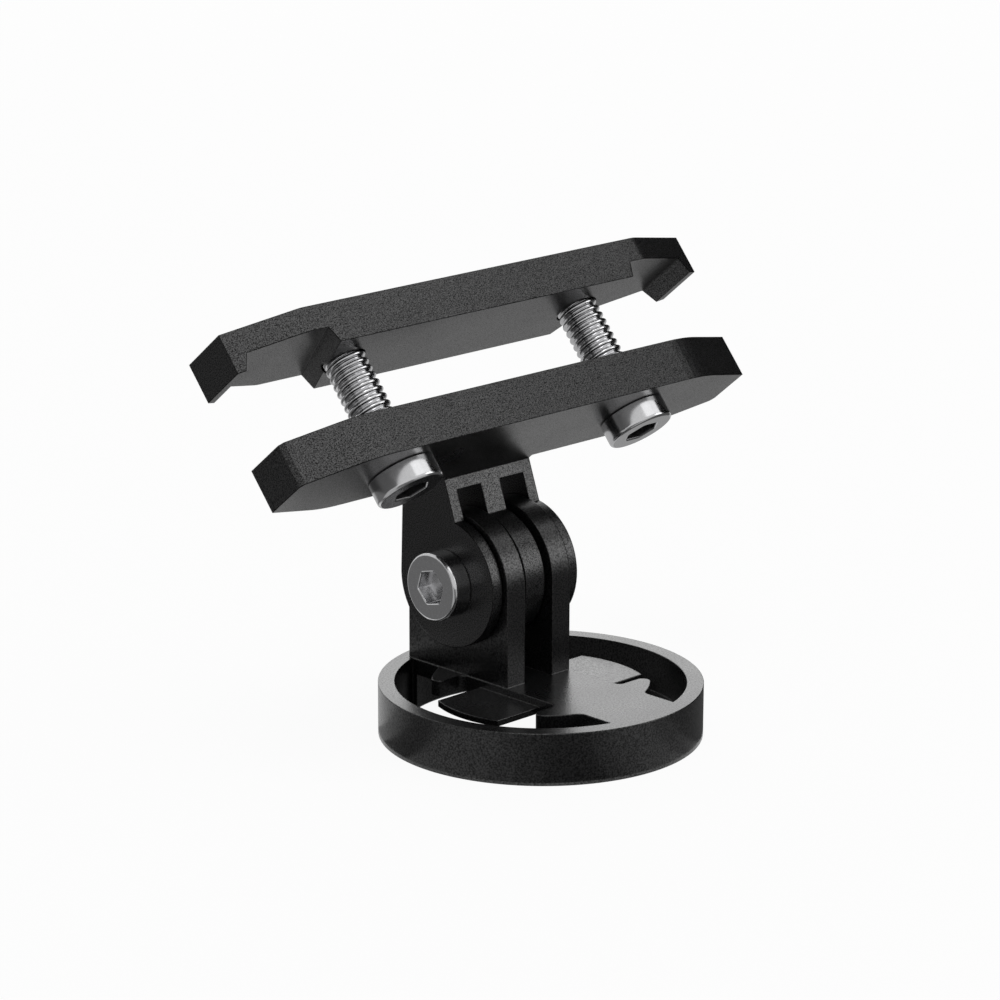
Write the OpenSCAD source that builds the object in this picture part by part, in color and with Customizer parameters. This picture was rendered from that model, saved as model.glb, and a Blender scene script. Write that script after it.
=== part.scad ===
// Saddle rail camera mount: a two-bar rail clamp on a lug of three round prongs,
// joined by a pivot screw to a disc with two prongs and a quarter-turn socket.
// Origin: centre of the socket's mouth, on the disc's bottom face. +Z is up.
// +X runs along the clamp bars and the pivot screw. The bars lie on the -Y side.

/* [Socket disc] */
// Outer diameter of the disc
disc_d = 37.1; // [34:0.1:42]
// Height of the disc
disc_h = 6.05; // [5.4:0.05:7.5]
// Thickness of the wall round the socket
rim_w = 2.55; // [2:0.05:3.2]
// Thickness of the plate that closes the socket
plate_t = 1.85; // [1.5:0.05:2.3]
// Distance that the wall steps back beside the plate
crescent_step = 0.65; // [0.3:0.05:1]
// Margin of the plate's middle strip beside the prongs
strip_margin = 0.08; // [0.05:0.01:0.5]
// Distance between the plate's four lobes and the socket's wall
lobe_gap = 3.55; // [3:0.05:4.2]
// Angle of the lobes' tips, turned forward or backward from the side
lobe_angle = 46.2; // [44:0.1:50]
// Rounding of the lobes' tips and roots
lobe_round = 0.85; // [0.4:0.05:1]
// Distance between the two spring tongues and the socket's wall
tongue_gap = 3.45; // [2.8:0.05:4.2]
// Width of a spring tongue
tongue_w = 9.6; // [8:0.1:10.5]
// Thickness of a spring tongue
tongue_t = 0.7; // [0.6:0.05:1.2]
// Height of the tongues' underside above the plate's underside
tongue_lift = 0.25; // [0:0.05:0.5]
// Reach of the two retaining ledges into the mouth
ledge_reach = 1.75; // [1.2:0.05:2.2]
// Thickness of a retaining ledge
ledge_t = 1.3; // [1:0.1:1.6]
// Half of the angle that a retaining ledge spans
ledge_half_angle = 30; // [25:1:42]

/* [Hinge lug] */
// Diameter of the lug's three round prongs
lug_d = 15; // [13:0.1:17]
// Thickness of the lug's middle prong
lug_middle_t = 2.98; // [2.4:0.02:3.6]
// Width of each slot between the lug's prongs
lug_slot_w = 3.76; // [3.2:0.02:4.4]
// Thickness of the lug's outer prongs
lug_outer_t = 1.5; // [1.3:0.02:2.2]
// Distance between the round prongs and the disc's top
lug_clearance = 3.58; // [2.6:0.02:5]
// Angle on the prongs, forward of their top, where the lug's front face starts
lug_front_foot = 10.3; // [6:0.1:12]
// Backward lean of the lug's front face from the vertical
lug_front_lean = 19.7; // [16:0.1:21]
// Forward lean of the lug's back face from the vertical
lug_back_lean = 1.7; // [0:0.1:4]
// Distance from the disc prongs' round ends to the end of the lug's slots
slot_end_gap = 2.65; // [2:0.05:3]

/* [Disc prongs] */
// Width of the two prongs on the disc, from front to back
disc_prong_w = 16.14; // [14:0.02:18]
// Distance from the prongs' back to the disc's rear edge
disc_prong_setback = 2.03; // [1.6:0.01:4]
// Play between a disc prong and the lug's middle prong
inner_play = 0.71; // [0.1:0.01:0.8]
// Play between a disc prong and the lug's outer prong
outer_play = 0.26; // [0.1:0.01:0.6]

/* [Clamp bars] */
// Backward tilt of both bars
bar_tilt = 40; // [36:0.5:44]
// Distance of the bars' centre line in front of the pivot, along the tilt
bar_offset = 14.24; // [13:0.02:15]
// Height of the lower bar's underside above the pivot, square to the bars
bar_rise = 9.52; // [9.3:0.02:12]
// Width of both bars in the middle
bar_w = 12.14; // [11:0.02:14]
// Length of the lower bar
lower_len = 69.8; // [62:0.2:84]
// Width of the lower bar's ends
lower_end_w = 6.15; // [4.5:0.05:9]
// Length of the lower bar's taper at each end
lower_taper = 9.2; // [7:0.1:12]
// Rounding of the lower bar's edge where a taper starts
lower_bend_r = 16; // [6:0.5:20]
// Thickness of the lower bar
lower_t = 5.2; // [4:0.01:6.5]
// Cut of the facet on two opposite end corners of the lower bar
lower_facet = 0.45; // [0.2:0.05:1]
// Length of the upper bar
upper_len = 71.75; // [64:0.05:85]
// Width of the upper bar's ends
upper_end_w = 6.5; // [4.5:0.05:9]
// Length of the upper bar's taper at each end
upper_taper = 9.8; // [7:0.1:12]
// Rounding of the upper bar's edge where a taper starts
upper_bend_r = 4; // [1:0.5:20]
// Thickness of the upper bar
upper_t = 4.81; // [4:0.01:6]
// Open distance between the bars as drawn
bar_gap = 8.77; // [7:0.01:10.5]

/* [Rail grooves] */
// Depth of the grooves in the upper bar
groove_depth = 1.92; // [1.4:0.02:2.4]
// Thickness of the lip outside a groove
lip_t = 0.9; // [0.6:0.05:1.5]
// Distance between a clamp screw and a groove's inner wall, on the bar's centre line
groove_screw_gap = 0.05; // [0:0.05:1]
// Splay of the inner walls, which follow the rails
groove_splay = 19.4; // [15:0.1:22]
// Distance that a groove's walls draw in over its depth
groove_draft = 0.7; // [0.3:0.05:0.9]
// Rounding between the outer wall and the groove's ceiling
groove_round = 0.55; // [0.3:0.05:0.7]

/* [Screws] */
// Thread diameter of all three screws
screw_d = 5; // [4:0.1:5.6]
// Radial play of the screws in their holes
screw_play = 0.07; // [0.03:0.01:0.09]
// Distance between the two clamp screws
screw_spacing = 36.56; // [30:0.02:42]
// Depth of a clamp screw's tip below the upper bar's top, as drawn
clamp_tip_depth = 0.65; // [0.2:0.05:1.2]
// Depth of the pivot screw's tip in its nut's outer face
pivot_tip_depth = 0.1; // [0:0.05:0.5]
// Head diameter
head_d = 7.97; // [7:0.01:9.4]
// Head height of the clamp screws
clamp_head_h = 2.7; // [2.1:0.05:3.2]
// Head height of the pivot screw
pivot_head_h = 2.56; // [2:0.02:3]
// Chamfer on a head's rim
head_chamfer = 0.35; // [0.2:0.05:0.5]
// Hexagon socket across its flats
hex_af = 3.6; // [3:0.1:4.2]
// Depth of the hexagon socket
hex_depth = 1.5; // [1.2:0.05:1.7]
// Turn of the pivot screw's socket from flats level
pivot_socket_turn = 13; // [0:1:30]
// Nut across its flats
nut_af = 8; // [7.2:0.1:9.5]
// Nut thickness
nut_t = 2.7; // [2.2:0.05:3.3]

/* [Hidden] */
$fn = 96;

// Reach of a cutter past the face that it opens
cut = 1;
// Overlap of pieces that are one body
weld = 0.2;
socket_r = disc_d / 2 - rim_w;
socket_depth = disc_h - plate_t;
crescent_r = socket_r + crescent_step;
lug_half = lug_middle_t / 2 + lug_slot_w + lug_outer_t;
disc_prong_t = lug_slot_w - inner_play - outer_play;
disc_prong_x = lug_middle_t / 2 + inner_play;
strip_x = disc_prong_x + disc_prong_t + strip_margin;
slot_end = disc_prong_w / 2 + slot_end_gap;
hole_d = screw_d + 2 * screw_play;
pivot_y = disc_d / 2 - disc_prong_setback - disc_prong_w / 2;
pivot_z = disc_h + lug_clearance + lug_d / 2;
bar_back = bar_w / 2 - bar_offset;
lower_top = bar_rise + lower_t;
upper_bottom = lower_top + bar_gap;
upper_top = upper_bottom + upper_t;
clamp_screw_len = upper_top - clamp_tip_depth - bar_rise;
pivot_screw_len = 2 * lug_half + nut_t - pivot_tip_depth;

// Points along an arc, from angle a0 to angle a1
function arc(cx, cy, r, a0, a1, n) =
    [for (i = [0 : n]) let (a = a0 + (a1 - a0) * i / n) [cx + r * cos(a), cy + r * sin(a)]];

// A list of points in reverse order, each point multiplied by the signs given
function reversed(points, signs) =
    [for (i = [len(points) - 1 : -1 : 0]) [points[i][0] * signs[0], points[i][1] * signs[1]]];

// Turns a point of the tilted bars into level and upright distances from the pivot
function level(y, z) = [y * cos(bar_tilt) + z * sin(bar_tilt), z * cos(bar_tilt) - y * sin(bar_tilt)];

// Places children in the bars' frame: X along the bars, Z square to them, from the pivot
module bar_frame() {
    translate([0, pivot_y, pivot_z]) rotate([-bar_tilt, 0, 0]) children();
}

// Extrudes a side outline, drawn as level and upright distances from the pivot, from x0 to x1
module side_plate(x0, x1) {
    translate([x0, pivot_y, pivot_z]) rotate([90, 0, 90]) linear_extrude(x1 - x0) children();
}

// A bore along the pivot's axis
module pivot_bore() {
    translate([-lug_half - cut, pivot_y, pivot_z]) rotate([0, 90, 0])
        cylinder(d = hole_d, h = 2 * (lug_half + cut));
}

// The right-hand edge of the plate, as points from its front end to its back end
function plate_edge() =
    let (end_y = socket_r + weld,
         lobe_r = socket_r - lobe_gap,
         tip = (lobe_r - lobe_round) * [cos(lobe_angle), -sin(lobe_angle)],
         root_x = strip_x + lobe_round,
         root_y = -sqrt(pow(lobe_r + lobe_round, 2) - pow(root_x, 2)),
         root_a = atan2(root_y, root_x),
         front = concat(
             [[strip_x, -end_y]],
             arc(root_x, root_y, lobe_round, 180, 180 + root_a, 4),
             arc(0, 0, lobe_r, root_a, -lobe_angle, 8),
             arc(tip[0], tip[1], lobe_round, -lobe_angle, 90, 8),
             arc(root_x, tip[1] + 2 * lobe_round, lobe_round, -90, -180, 6)))
    concat(front, reversed(front, [1, -1]));

// The plate that closes the socket: a strip with two lobes at its front and two at its back
module socket_plate() {
    edge = plate_edge();
    translate([0, 0, socket_depth]) linear_extrude(plate_t) polygon(concat(edge, reversed(edge, [-1, 1])));
}

// The two thin tongues that spring beside the strip
module spring_tongues() {
    tongue_r = socket_r - tongue_gap;
    translate([0, 0, socket_depth + tongue_lift]) intersection() {
        cylinder(r = tongue_r, h = tongue_t);
        translate([-tongue_r, -tongue_w / 2, 0]) cube([2 * tongue_r, tongue_w, tongue_t]);
    }
}

// The disc's wall, stepped back in a crescent on each side of the plate
module socket_ring() {
    difference() {
        cylinder(d = disc_d, h = disc_h);
        translate([0, 0, -cut]) cylinder(r = socket_r, h = disc_h + 2 * cut);
        difference() {
            translate([0, 0, -cut]) cylinder(r = crescent_r, h = disc_h + 2 * cut);
            translate([-strip_x, -disc_d, -2 * cut]) cube([2 * strip_x, 2 * disc_d, disc_h + 4 * cut]);
        }
    }
}

// One of the two inward ledges that hold a quarter-turn tab
module retaining_ledge() {
    rotate([0, 0, -ledge_half_angle]) rotate_extrude(angle = 2 * ledge_half_angle)
        translate([socket_r - ledge_reach, 0])
            square([ledge_reach + crescent_step + weld, ledge_t]);
}

// One of the two prongs on the disc, rounded over the pivot
module disc_prong() {
    side_plate(disc_prong_x, disc_prong_x + disc_prong_t) {
        circle(d = disc_prong_w);
        translate([-disc_prong_w / 2, socket_depth - pivot_z])
            square([disc_prong_w, pivot_z - socket_depth]);
    }
}

module socket_base() {
    color("#2b2b2d") difference() {
        union() {
            socket_ring();
            socket_plate();
            spring_tongues();
            for (side = [0, 1]) mirror([side, 0, 0]) {
                retaining_ledge();
                disc_prong();
            }
        }
        pivot_bore();
    }
}

// One quarter of a bar's edge in plan, as points from the middle to the end.
// The end corner is cut off by the facet, if there is one
function quarter_edge(half_len, end_w, taper_len, bend_r, facet) =
    let (taper = atan2((bar_w - end_w) / 2, taper_len),
         bend_x = half_len - taper_len - bend_r * tan(taper / 2),
         bend = arc(bend_x, bar_w / 2 - bend_r, bend_r, 90, 90 - taper, 5),
         corner = [half_len, end_w / 2])
    facet == 0 ? concat(bend, [corner])
        : concat(bend, [corner - facet * [cos(taper), -sin(taper)], corner - [0, facet]]);

// Plan of a bar: straight sides and a taper to each flat end.
// Two opposite end corners, left at the front and right at the back, have a facet
module bar_plan(half_len, end_w, taper_len, bend_r, facet) {
    faceted = quarter_edge(half_len, end_w, taper_len, bend_r, facet);
    plain = quarter_edge(half_len, end_w, taper_len, bend_r, 0);
    polygon(concat(faceted, reversed(plain, [1, -1]), -faceted, reversed(plain, [-1, 1])));
}

// The two screw holes through a bar of thickness t that starts at height z0
module bar_holes(z0, t) {
    for (side = [-1, 1]) translate([side * screw_spacing / 2, -bar_offset, z0 - cut])
        cylinder(d = hole_d, h = t + 2 * cut);
}

// Side outline of the lug: round about the pivot, with a leaning front and a nearly upright
// back that rises behind the bar to the bar's top face
module lug_outline() {
    foot = lug_d / 2 * [-sin(lug_front_foot), cos(lug_front_foot)];
    rising = [sin(lug_front_lean), cos(lug_front_lean)];
    normal = [sin(bar_tilt), cos(bar_tilt)];
    front = foot + (bar_rise - foot * normal) / (rising * normal) * rising;
    back_slope = tan(lug_back_lean);
    back_top = (lower_top - lug_d / 2 * sin(bar_tilt)) / (cos(bar_tilt) - back_slope * sin(bar_tilt));
    circle(d = lug_d);
    polygon([[0, 0], foot, front, level(bar_back - cut, bar_rise), level(bar_back - cut, lower_top),
             [lug_d / 2 - back_top * back_slope, back_top], [lug_d / 2, 0]]);
}

// The slot in the lug for the disc prong on the +X side
module lug_slot() {
    side_plate(lug_middle_t / 2, lug_middle_t / 2 + lug_slot_w)
        translate([-lug_d, -lug_d]) square([2 * lug_d, lug_d + slot_end]);
}

module lower_bar() {
    color("#46464a") difference() {
        union() {
            bar_frame() translate([0, -bar_offset, bar_rise]) linear_extrude(lower_t)
                bar_plan(lower_len / 2, lower_end_w, lower_taper, lower_bend_r, lower_facet);
            side_plate(-lug_half, lug_half) lug_outline();
        }
        lug_slot();
        mirror([1, 0, 0]) lug_slot();
        bar_frame() bar_holes(bar_rise, lower_t);
        pivot_bore();
    }
}

// Cutter for one rail groove, on the +X side. The inner wall is splayed and both walls lean
module rail_groove() {
    lean = atan2(groove_draft, groove_depth);
    mouth_x = upper_len / 2 - lip_t;
    top_x = mouth_x - groove_draft;
    inner_x = screw_spacing / 2 + screw_d / 2 + groove_screw_gap;
    far_x = inner_x - bar_w;
    intersection() {
        translate([0, bar_w - bar_offset, upper_bottom]) rotate([90, 0, 0]) linear_extrude(2 * bar_w)
            polygon(concat(
                [[far_x, -cut], [mouth_x + cut * tan(lean), -cut]],
                arc(top_x - groove_round, groove_depth - groove_round, groove_round, 90 - lean, 90, 6),
                [[far_x, groove_depth]]));
        translate([inner_x, -bar_offset, upper_bottom]) rotate([0, 0, groove_splay])
            rotate([0, lean, 0]) translate([0, -2 * bar_w, -2 * bar_w]) cube(4 * bar_w);
    }
}

module upper_bar() {
    color("#46464a") bar_frame() difference() {
        translate([0, -bar_offset, upper_bottom]) linear_extrude(upper_t)
            bar_plan(upper_len / 2, upper_end_w, upper_taper, upper_bend_r, 0);
        bar_holes(upper_bottom, upper_t);
        rail_groove();
        mirror([1, 0, 0]) rail_groove();
    }
}

// A screw along +Z: its head below zero, its shank above
module cap_screw(len, head_h) {
    color("#c4c4c8") difference() {
        union() {
            rotate_extrude() polygon([
                [0, -head_h], [head_d / 2 - head_chamfer, -head_h],
                [head_d / 2, head_chamfer - head_h], [head_d / 2, 0], [0, 0]]);
            cylinder(d = screw_d, h = len);
        }
        translate([0, 0, -head_h - cut]) cylinder(d = hex_af / cos(30), h = hex_depth + cut, $fn = 6);
    }
}

// A clamp screw on the left, side -1, or on the right, side 1
module clamp_screw(side) {
    bar_frame() translate([side * screw_spacing / 2, -bar_offset, bar_rise])
        cap_screw(clamp_screw_len, clamp_head_h);
}

module clamp_screw_left() { clamp_screw(-1); }

module clamp_screw_right() { clamp_screw(1); }

module pivot_screw() {
    translate([-lug_half, pivot_y, pivot_z]) rotate([0, 90, 0]) rotate([0, 0, 30 + pivot_socket_turn])
        cap_screw(pivot_screw_len, pivot_head_h);
}

// Thin hexagon nut on the far side of the lug
module pivot_nut() {
    color("#c4c4c8") translate([lug_half, pivot_y, pivot_z]) rotate([0, 90, 0]) difference() {
        cylinder(d = nut_af / cos(30), h = nut_t, $fn = 6);
        translate([0, 0, -cut]) cylinder(d = hole_d, h = nut_t + 2 * cut);
    }
}

socket_base();
lower_bar();
upper_bar();
clamp_screw_left();
clamp_screw_right();
pivot_screw();
pivot_nut();
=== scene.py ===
import math
import bmesh
import bpy
from mathutils import Matrix, Vector


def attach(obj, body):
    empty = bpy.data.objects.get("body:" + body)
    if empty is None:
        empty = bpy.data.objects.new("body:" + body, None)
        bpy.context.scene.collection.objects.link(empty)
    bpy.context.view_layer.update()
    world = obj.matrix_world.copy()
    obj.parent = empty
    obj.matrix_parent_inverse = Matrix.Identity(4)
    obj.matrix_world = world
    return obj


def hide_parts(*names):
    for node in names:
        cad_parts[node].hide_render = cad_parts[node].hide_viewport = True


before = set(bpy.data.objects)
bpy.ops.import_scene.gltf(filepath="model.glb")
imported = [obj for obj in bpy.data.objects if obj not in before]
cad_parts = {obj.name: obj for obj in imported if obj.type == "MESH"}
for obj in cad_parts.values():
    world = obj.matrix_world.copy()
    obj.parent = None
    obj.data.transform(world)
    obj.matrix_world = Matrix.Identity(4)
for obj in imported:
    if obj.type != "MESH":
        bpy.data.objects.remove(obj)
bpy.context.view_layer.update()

MM = 0.001

# ---------------------------------------------------------------- camera
CAM_AT = Vector((-295.54, -292.46, 146.40)) * MM
CAM_AZIMUTH = math.radians(-44.651)
CAM_ELEVATION = math.radians(15.982)
CAM_ROLL = math.radians(0.165)
LENS = 138.576

back = Vector((math.sin(CAM_AZIMUTH) * math.cos(CAM_ELEVATION),
               -math.cos(CAM_AZIMUTH) * math.cos(CAM_ELEVATION), math.sin(CAM_ELEVATION)))
level = Vector((math.cos(CAM_AZIMUTH), math.sin(CAM_AZIMUTH), 0.0))
upright = back.cross(level)
right = level * math.cos(CAM_ROLL) + upright * math.sin(CAM_ROLL)
up = upright * math.cos(CAM_ROLL) - level * math.sin(CAM_ROLL)
cam_data = bpy.data.cameras.new("camera")
cam_data.sensor_width = 36.0
cam_data.lens = LENS
cam_data.clip_start = 0.01
cam_data.clip_end = 20.0
cam = bpy.data.objects.new("camera", cam_data)
bpy.context.scene.collection.objects.link(cam)
cam.matrix_world = Matrix((
    (right.x, up.x, back.x, CAM_AT.x),
    (right.y, up.y, back.y, CAM_AT.y),
    (right.z, up.z, back.z, CAM_AT.z),
    (0.0, 0.0, 0.0, 1.0)))
bpy.context.scene.camera = cam


# ---------------------------------------------------------------- materials
class Graph:
    """A short way to write a node tree."""

    def __init__(self, name):
        self.mat = bpy.data.materials.new(name)
        self.mat.use_nodes = True
        self.tree = self.mat.node_tree
        self.tree.nodes.clear()
        self.out = self.tree.nodes.new("ShaderNodeOutputMaterial")

    def node(self, kind, **values):
        n = self.tree.nodes.new(kind)
        for key, value in values.items():
            if key in n.inputs:
                n.inputs[key].default_value = value
            else:
                setattr(n, key, value)
        return n

    def link(self, a, b):
        self.tree.links.new(a, b)

    def ramp(self, source, stops):
        n = self.tree.nodes.new("ShaderNodeValToRGB")
        el = n.color_ramp.elements
        el[0].position, el[1].position = stops[0][0], stops[-1][0]
        for pos, _ in stops[1:-1]:
            el.new(pos)
        for e, (_, v) in zip(sorted(el, key=lambda e: e.position), stops):
            e.color = (v, v, v, 1.0) if isinstance(v, float) else (*v, 1.0)
        self.link(source, n.inputs["Fac"])
        return n.outputs["Color"]


def anodised(name, base, rough, grain, painted_edge_shade, speck_mm, bump_mm):
    """Satin black anodising: a fine speckle, and painted shade along the edges, where base colour and specular are
    dimmed by the given share to stand in for dark rounded edges.
    """
    g = Graph(name)
    bsdf = g.node("ShaderNodeBsdfPrincipled")
    coord = g.node("ShaderNodeTexCoord")
    speck = g.node("ShaderNodeTexNoise", Scale=1.0 / (speck_mm * MM), Detail=1.0, Roughness=0.5)
    cloud = g.node("ShaderNodeTexNoise", Scale=1.0 / (7.0 * MM), Detail=3.0)
    for tex in (speck, cloud):
        g.link(coord.outputs["Object"], tex.inputs["Vector"])
    edge = g.node("ShaderNodeBevel", Radius=0.2 * MM)
    edge.samples = 8
    face = g.node("ShaderNodeNewGeometry")
    dot = g.node("ShaderNodeVectorMath", operation="DOT_PRODUCT")
    g.link(edge.outputs["Normal"], dot.inputs[0])
    g.link(face.outputs["Normal"], dot.inputs[1])
    # Painted shade: a mask that dims base colour and specular in a thin line along every edge.
    edge_shade_keep = g.ramp(dot.outputs["Value"], [(0.90, 1.0 - painted_edge_shade), (0.998, 1.0)])

    def grain_with_edge_shade(stops):
        tone = g.ramp(speck.outputs["Fac"], stops)
        mix = g.node("ShaderNodeVectorMath", operation="MULTIPLY")
        g.link(tone, mix.inputs[0])
        g.link(edge_shade_keep, mix.inputs[1])
        return mix.outputs["Vector"]

    g.link(grain_with_edge_shade([(0.36, tuple(c * (1.0 - grain) for c in base)), (0.64, tuple(c * (1.0 + grain) for c in base))]),
           bsdf.inputs["Base Color"])
    g.link(grain_with_edge_shade([(0.34, 0.56 * (1.0 - grain)), (0.66, 0.56 * (1.0 + grain))]), bsdf.inputs["Specular IOR Level"])
    rr = g.ramp(cloud.outputs["Fac"], [(0.3, rough - 0.02), (0.7, rough + 0.02)])
    g.link(rr, bsdf.inputs["Roughness"])
    b = g.node("ShaderNodeBump", Strength=0.6, Distance=bump_mm * MM)
    g.link(speck.outputs["Fac"], b.inputs["Height"])
    g.link(edge.outputs["Normal"], b.inputs["Normal"])
    g.link(b.outputs["Normal"], bsdf.inputs["Normal"])
    g.link(bsdf.outputs["BSDF"], g.out.inputs["Surface"])
    return g.mat


def steel(name, low, high, rough):
    g = Graph(name)
    bsdf = g.node("ShaderNodeBsdfPrincipled")
    coord = g.node("ShaderNodeTexCoord")
    fine = g.node("ShaderNodeTexNoise", Scale=1.0 / (0.3 * MM), Detail=2.0)
    g.link(coord.outputs["Object"], fine.inputs["Vector"])
    tone = g.ramp(fine.outputs["Fac"], [(0.3, (low, low, low * 1.015)), (0.7, (high, high, high * 1.015))])
    g.link(tone, bsdf.inputs["Base Color"])
    rr = g.ramp(fine.outputs["Fac"], [(0.3, rough), (0.7, rough + 0.02)])
    g.link(rr, bsdf.inputs["Roughness"])
    bsdf.inputs["Metallic"].default_value = 1.0
    g.link(bsdf.outputs["BSDF"], g.out.inputs["Surface"])
    return g.mat


# The bars carry painted edge shade at 0.85; the base carries none.
BLACK_BARS = anodised("black_satin_bars", (0.0065, 0.0065, 0.0068), 0.29, 0.80, 0.85, 0.125, 0.014)
BLACK_BASE = anodised("black_satin_base", (0.0055, 0.0055, 0.0058), 0.28, 0.52, 0.0, 0.195, 0.022)
STEEL = steel("bright_steel", 0.58, 0.62, 0.15)
# Painted shade in the clamp screws' sockets: a much darker steel, partly the darker broached finish and partly painted
# shade in the recess.
SOCKET_SHADE_STEEL = steel("socket_shade_steel", 0.10, 0.15, 0.28)
SOCKET_STEEL = steel("socket_steel", 0.56, 0.64, 0.16)
# Painted shade: a darker copy of the bright steel on the clamp screws' head faces; the pivot screw's face keeps the
# bright steel.
SHADED_FACE_STEEL = steel("shaded_face_steel", 0.28, 0.33, 0.20)


def dress(node, mat):
    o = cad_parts[node]
    if not o.material_slots:
        o.data.materials.append(mat)
    for s in o.material_slots:
        s.material = mat
    return o


dress("socket_base", BLACK_BASE)
dress("lower_bar", BLACK_BARS)
dress("upper_bar", BLACK_BARS)

# ---------------------------------------------------------------- screws and nut
TILT = math.radians(40.0)
PIVOT = Vector((0.0, 8.45, 17.13))
BAR_OFFSET, BAR_RISE = 14.24, 9.52
SCREW_X = 18.28
PITCH = 0.9
CREST_R, ROOT_R = 2.49, 1.98
HEAD_R = 3.985
RING = 96


def lathe(bm, rings, close_start, close_end):
    """Rings of RING points each; closes the first or last ring on a centre point."""
    rows = [[bm.verts.new(p) for p in ring] for ring in rings]
    for a, b in zip(rows, rows[1:]):
        for i in range(RING):
            j = (i + 1) % RING
            bm.faces.new((a[i], a[j], b[j], b[i]))
    if close_start is not None:
        c = bm.verts.new(close_start)
        for i in range(RING):
            bm.faces.new((c, rows[0][(i + 1) % RING], rows[0][i]))
    if close_end is not None:
        c = bm.verts.new(close_end)
        for i in range(RING):
            bm.faces.new((c, rows[-1][i], rows[-1][(i + 1) % RING]))
    return rows


def circle(r, z):
    return [(r * math.cos(2 * math.pi * i / RING), r * math.sin(2 * math.pi * i / RING), z) for i in range(RING)]


def hexagon(af, z, soft=0.0):
    out = []
    for i in range(RING):
        a = 2 * math.pi * i / RING
        h = af / 2 / math.cos((a % (math.pi / 3)) - math.pi / 6)
        r = min(h, af / 2 / math.cos(math.pi / 6) * (1 - soft))
        out.append((r * math.cos(a), r * math.sin(a), z))
    return out


def make_object(name, bm, mats, place, body, node):
    me = bpy.data.meshes.new(name)
    bmesh.ops.recalc_face_normals(bm, faces=bm.faces)
    bm.to_mesh(me)
    bm.free()
    for mat in mats:
        me.materials.append(mat)
    o = bpy.data.objects.new(name, me)
    bpy.context.scene.collection.objects.link(o)
    o.matrix_world = place
    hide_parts(node)
    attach(o, body)
    return o


THREAD_STEPS = 10
THREAD_SIDES = 72


def thread_mesh(bm, z0, z1):
    """A right-hand thread from z0 to z1 with round crests and narrow roots, chamfered at its tip."""
    turns = int((z1 - z0) / PITCH) + 4
    rows = turns * THREAD_STEPS
    start = z0 - PITCH

    def point(i, s):
        u = s / THREAD_STEPS
        r = ROOT_R + (CREST_R - ROOT_R) * abs(math.sin(math.pi * u)) ** 0.8
        z = start + PITCH * (u + i / THREAD_SIDES)
        r = min(r, max(0.0, ROOT_R - 0.25 + (z1 - z)))
        z = min(max(z, z0), z1)
        a = 2 * math.pi * i / THREAD_SIDES
        return (r * math.cos(a), r * math.sin(a), z)

    grid = [[bm.verts.new(point(i, s)) for s in range(rows)] for i in range(THREAD_SIDES)]
    for i in range(THREAD_SIDES):
        for s in range(rows - 1):
            a, d = grid[i][s], grid[i][s + 1]
            if i + 1 < THREAD_SIDES:
                b, c = grid[i + 1][s], grid[i + 1][s + 1]
            else:
                if s + 1 + THREAD_STEPS >= rows:
                    continue
                b, c = grid[0][s + THREAD_STEPS], grid[0][s + 1 + THREAD_STEPS]
            bm.faces.new((a, b, c, d)).smooth = True
    bmesh.ops.remove_doubles(bm, verts=bm.verts, dist=1e-5)
    bmesh.ops.dissolve_degenerate(bm, dist=1e-5, edges=bm.edges)
    bm.normal_update()


def cap_screw(name, length, head_h, af, place, body, node, inside, end, turn=0.0):
    bm = bmesh.new()
    h = -head_h
    edge_r, edge_h, steps = 0.38, 0.42, 8
    rings = [circle(2.3, 0.0), circle(HEAD_R - 0.14, 0.0), circle(HEAD_R - 0.12, -0.005),
             circle(HEAD_R - 0.03, -0.05), circle(HEAD_R, -0.13), circle(HEAD_R, -0.15), circle(HEAD_R, h + edge_h + 0.02)]
    for k in range(steps + 1):
        a = math.pi / 2 * k / steps
        rings.append(circle(HEAD_R - edge_r * (1 - math.cos(a)), h + edge_h - edge_h * math.sin(a)))
    rings += [circle(HEAD_R - edge_r - 0.02, h), hexagon(af + 0.36, h, 0.05), hexagon(af + 0.34, h, 0.05),
              hexagon(af + 0.12, h + 0.06, 0.02), hexagon(af, h + 0.17, 0.01), hexagon(af, h + 0.19, 0.01),
              hexagon(af, h + 1.48), hexagon(af, h + 1.5), hexagon(af - 0.04, h + 1.5), circle(af / 2 - 0.45, h + 1.52)]
    lathe(bm, rings, None, (0, 0, h + 2.0))
    for f in bm.faces:
        c = f.calc_center_median()
        f.smooth = True
        # The socket takes the inside material; for the clamp screws that one is darkened with painted shade.
        if c.z > h + 0.10 and math.hypot(c.x, c.y) < 0.52 * af / math.cos(math.pi / 6) and c.z < h + 2.2:
            f.material_index = 1
        # The flat head face takes the end material; for the clamp screws that one is a painted-shade copy of the steel.
        elif c.z < h + 0.005:
            f.material_index = 2
    sharp_socket(bm, h, af)
    rot = Matrix.Rotation(turn, 4, "Z")
    bmesh.ops.transform(bm, matrix=rot, verts=bm.verts)
    thread_mesh(bm, -0.02, length)
    bmesh.ops.scale(bm, vec=(MM, MM, MM), verts=bm.verts)
    return make_object(name, bm, (STEEL, inside, end), place, body, node)


def sharp_socket(bm, h, af):
    """The six corners and the floor edge of the socket stay sharp in shading."""
    for e in bm.edges:
        if len(e.link_faces) == 2:
            p = (e.verts[0].co + e.verts[1].co) / 2
            if p.z > h + 0.1 and math.hypot(p.x, p.y) < 0.6 * af:
                if e.calc_face_angle(0.0) > math.radians(24):
                    e.smooth = False


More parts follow.
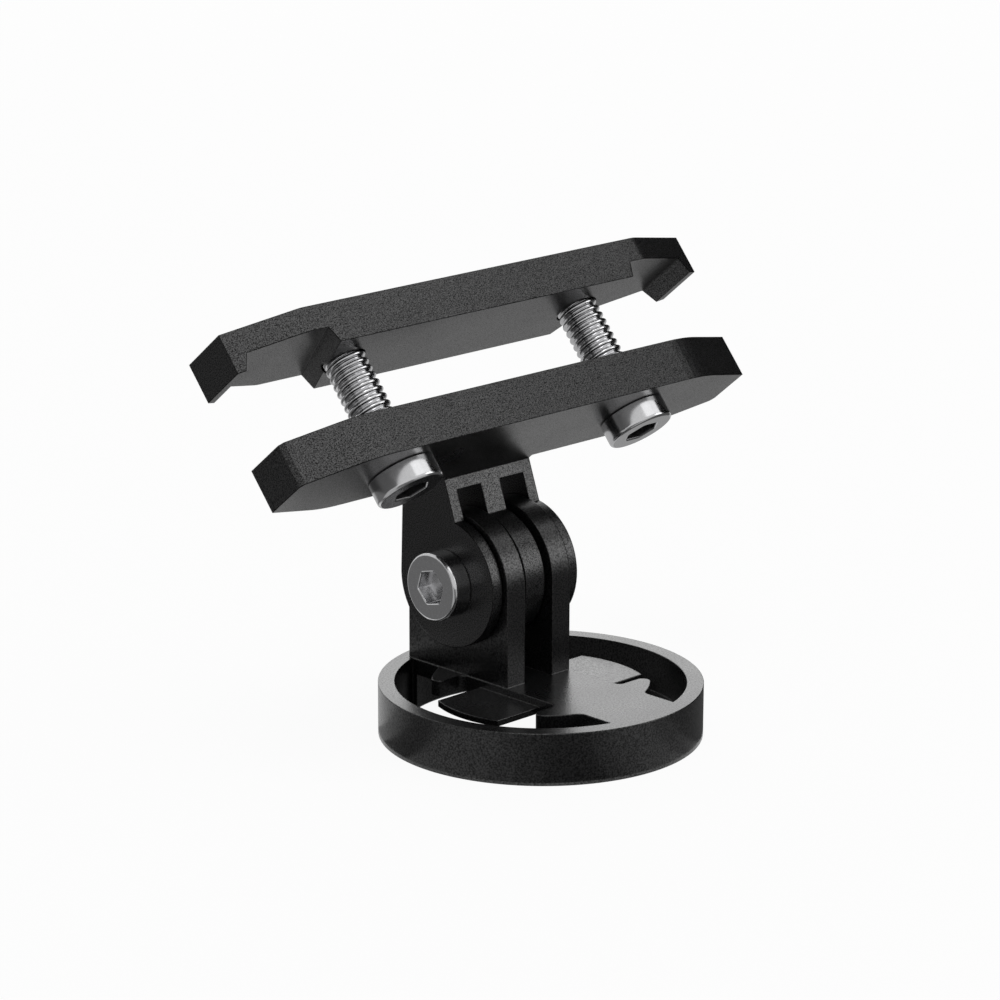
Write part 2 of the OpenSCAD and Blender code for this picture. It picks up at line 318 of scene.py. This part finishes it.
def hex_nut(name, af, thick, place, body, node):
    """A plain hexagon nut: both faces chamfered by a cone, a plain round bore chamfered at both ends."""
    bm = bmesh.new()
    flat_r, cone = af / 2 * 0.965, math.tan(math.radians(30))

    def corner(z, way):
        out = []
        for x, y, _ in hexagon(af, 0.0):
            over = max(0.0, math.hypot(x, y) - flat_r)
            out.append((x, y, z - way * over * cone))
        return out

    def face(z):
        out = []
        for x, y, _ in hexagon(af, 0.0):
            k = min(1.0, flat_r / math.hypot(x, y))
            out.append((x * k, y * k, z))
        return out

    bore = CREST_R + 0.04
    rings = [circle(bore, thick / 2), circle(bore, thick - 0.3), circle(bore + 0.3, thick), face(thick),
             corner(thick, 1), corner(0.0, -1), face(0.0), circle(bore + 0.3, 0.0), circle(bore, 0.3),
             circle(bore, thick / 2)]
    lathe(bm, rings, None, None)
    bmesh.ops.remove_doubles(bm, verts=bm.verts, dist=1e-6)
    for f in bm.faces:
        f.smooth = True
    for e in bm.edges:
        if e.calc_face_angle(0.0) > math.radians(24):
            e.smooth = False
    bmesh.ops.scale(bm, vec=(MM, MM, MM), verts=bm.verts)
    return make_object(name, bm, (STEEL,), place, body, node)


def bar_place(x):
    base = PIVOT + Vector((x, -BAR_OFFSET * math.cos(TILT) + BAR_RISE * math.sin(TILT),
                           BAR_OFFSET * math.sin(TILT) + BAR_RISE * math.cos(TILT)))
    return Matrix.Translation(base * MM) @ Matrix.Rotation(-TILT, 4, "X")


# The clamp screws get painted shade twice: the darker socket steel and the darker head-face steel.
cap_screw("clamp_screw_left_detail", 18.13, 2.7, 3.6, bar_place(-SCREW_X), "left_screw", "clamp_screw_left",
          SOCKET_SHADE_STEEL, SHADED_FACE_STEEL)
cap_screw("clamp_screw_right_detail", 18.13, 2.7, 3.6, bar_place(SCREW_X), "right_screw", "clamp_screw_right",
          SOCKET_SHADE_STEEL, SHADED_FACE_STEEL)
pivot_place = Matrix.Translation(Vector((-6.75, PIVOT.y, PIVOT.z)) * MM) @ Matrix.Rotation(math.pi / 2, 4, "Y")
cap_screw("pivot_screw_detail", 16.1, 2.56, 3.6, pivot_place, "pivot_bolt", "pivot_screw", SOCKET_STEEL, STEEL,
          math.radians(16.4))
nut_place = Matrix.Translation(Vector((6.75, PIVOT.y, PIVOT.z)) * MM) @ Matrix.Rotation(math.pi / 2, 4, "Y")
hex_nut("pivot_nut_detail", 8.0, 2.7, nut_place, "head", "pivot_nut")

# ---------------------------------------------------------------- stage and light
def sees_white(tree):
    """1 for camera, glossy and transmission rays, and 0 for the rest."""
    rays = tree.nodes.new("ShaderNodeLightPath")
    total = rays.outputs["Is Camera Ray"]
    for kind in ("Is Glossy Ray", "Is Transmission Ray"):
        m = tree.nodes.new("ShaderNodeMath")
        m.operation = "MAXIMUM"
        tree.links.new(total, m.inputs[0])
        tree.links.new(rays.outputs[kind], m.inputs[1])
        total = m.outputs[0]
    return total


def world_light(diffuse):
    world = bpy.data.worlds.new("world")
    world.use_nodes = True
    bpy.context.scene.world = world
    tree = world.node_tree
    tree.nodes.clear()
    out = tree.nodes.new("ShaderNodeOutputWorld")
    sky = tree.nodes.new("ShaderNodeBackground")
    level = tree.nodes.new("ShaderNodeMapRange")
    level.inputs["To Min"].default_value = diffuse
    level.inputs["To Max"].default_value = 1.0
    tree.links.new(sees_white(tree), level.inputs["Value"])
    seen = tree.nodes.new("ShaderNodeMath")
    seen.operation = "MULTIPLY_ADD"
    seen.inputs[1].default_value = 0.22
    rays = tree.nodes.new("ShaderNodeLightPath")
    tree.links.new(rays.outputs["Is Camera Ray"], seen.inputs[0])
    tree.links.new(level.outputs["Result"], seen.inputs[2])
    tree.links.new(seen.outputs[0], sky.inputs["Strength"])
    tree.links.new(sky.outputs[0], out.inputs["Surface"])


def board(name, points, mat, reflections_only=True):
    """A flat stage board through the points given in millimetres."""
    me = bpy.data.meshes.new(name)
    me.from_pydata([Vector(p) * MM for p in points], [], [tuple(range(len(points)))])
    me.materials.append(mat)
    o = bpy.data.objects.new(name, me)
    bpy.context.scene.collection.objects.link(o)
    if reflections_only:
        o.visible_camera = False
        o.visible_diffuse = False
        o.visible_shadow = False
        o.visible_transmission = False
    return o


def on_floor(azimuth, distance, z):
    a = math.radians(azimuth)
    return (distance * math.cos(a), distance * math.sin(a), z)


def glow(name, level):
    g = Graph(name)
    e = g.node("ShaderNodeEmission", Strength=level)
    e.inputs["Color"].default_value = (1, 1, 1, 1)
    g.link(e.outputs[0], g.out.inputs["Surface"])
    return g.mat


def floor_material():
    g = Graph("floor")
    d = g.node("ShaderNodeBsdfDiffuse")
    d.inputs["Color"].default_value = (0.95, 0.95, 0.95, 1)
    e = g.node("ShaderNodeEmission", Strength=1.0)
    share = g.node("ShaderNodeMapRange")
    share.inputs["To Min"].default_value = 0.0
    share.inputs["To Max"].default_value = 0.94
    g.link(sees_white(g.tree), share.inputs["Value"])
    mix = g.node("ShaderNodeMixShader")
    g.link(share.outputs["Result"], mix.inputs["Fac"])
    g.link(d.outputs[0], mix.inputs[1])
    g.link(e.outputs[0], mix.inputs[2])
    g.link(mix.outputs[0], g.out.inputs["Surface"])
    return g.mat


def lamp(name, centre, towards, width, height, level):
    """A soft box. Level is how bright it looks, where 1 is white."""
    data = bpy.data.lights.new(name, "AREA")
    data.shape = "RECTANGLE"
    data.size, data.size_y = width * MM, height * MM
    data.energy = level * math.pi * width * height * MM * MM
    o = bpy.data.objects.new(name, data)
    bpy.context.scene.collection.objects.link(o)
    c, t = Vector(centre), Vector(towards)
    turn = (c - t).to_track_quat("Z", "Y").to_matrix().to_4x4()
    o.matrix_world = Matrix.Translation(c * MM) @ turn
    return o


MIDDLE = (0, 0, 25)
world_light(0.45)
FLOOR_HALF, BOARD_HALF = 3000, 800
board("floor", [(-FLOOR_HALF, -FLOOR_HALF, -0.02), (FLOOR_HALF, -FLOOR_HALF, -0.02),
                (FLOOR_HALF, FLOOR_HALF, -0.02), (-FLOOR_HALF, FLOOR_HALF, -0.02)], floor_material(), False)
# Two rings of boards below that only reflections see: azimuth from, azimuth to, how bright
NEAR_FAN = ((8, 100, 0.56), (100, 135, 0.80), (135, 150, 0.40), (150, 170, 0.15), (170, 205, 0.48),
            (205, 215, 0.36), (215, 226, 0.24), (226, 250, 0.12), (250, 258, 0.26), (258, 266, 0.38),
            (266, 286, 0.46), (286, 300, 0.28), (300, 368, 0.13))
FAR_FAN = ((8, 104, 0.56), (104, 112, 0.40), (112, 160, 0.18), (160, 205, 0.50), (205, 255, 0.20),
           (255, 298, 0.50), (298, 368, 0.10))
RING_MID = 36
RING_IN = 18.7
for ring, fan in (("near", NEAR_FAN), ("far", FAR_FAN)):
    for i, (start, end, bright) in enumerate(fan):
        steps = 6
        turns = [start + (end - start) * k / steps for k in range(steps + 1)]
        inner, outer = (RING_IN, RING_MID) if ring == "near" else (RING_MID, BOARD_HALF)
        points = [on_floor(t, inner, 0.3) for t in reversed(turns)] + [on_floor(t, outer, 0.3) for t in turns]
        name = "board_%s_%d" % (ring, i)
        board(name, points, glow(name, bright))
board("board_inside", [on_floor(15 * k, 18.4, 0.1) for k in range(24)], glow("board_inside", 0.12))
board("board_left", [on_floor(112, 700, 0), on_floor(160, 700, 0), on_floor(160, 700, 110),
                     on_floor(112, 700, 110)], glow("board_left", 0.18))
board("board_side", [on_floor(142, 640, 30), on_floor(190, 640, 30), on_floor(190, 640, 260),
                     on_floor(142, 640, 260)], glow("board_side", 0.38))
board("board_right", [on_floor(-34, 560, 0), on_floor(29, 560, 0), on_floor(29, 560, 400),
                      on_floor(-34, 560, 400)], glow("board_right", 0.0))
board("board_key", [on_floor(-52, 620, 360), on_floor(-8, 620, 360), on_floor(-8, 560, 800),
                    on_floor(-52, 560, 800)], glow("board_key", 1.28))
# Soft boxes
lamp("box_back", (700, 720, 420), MIDDLE, 1000, 700, 1.42)
lamp("box_front", (620, -640, 330), MIDDLE, 520, 460, 1.7)
lamp("box_top", (150, -350, 900), MIDDLE, 700, 700, 0.6)
lamp("box_over", (-200, -150, 900), MIDDLE, 300, 300, 4.5)

sc = bpy.context.scene
sc.view_settings.view_transform = "Standard"
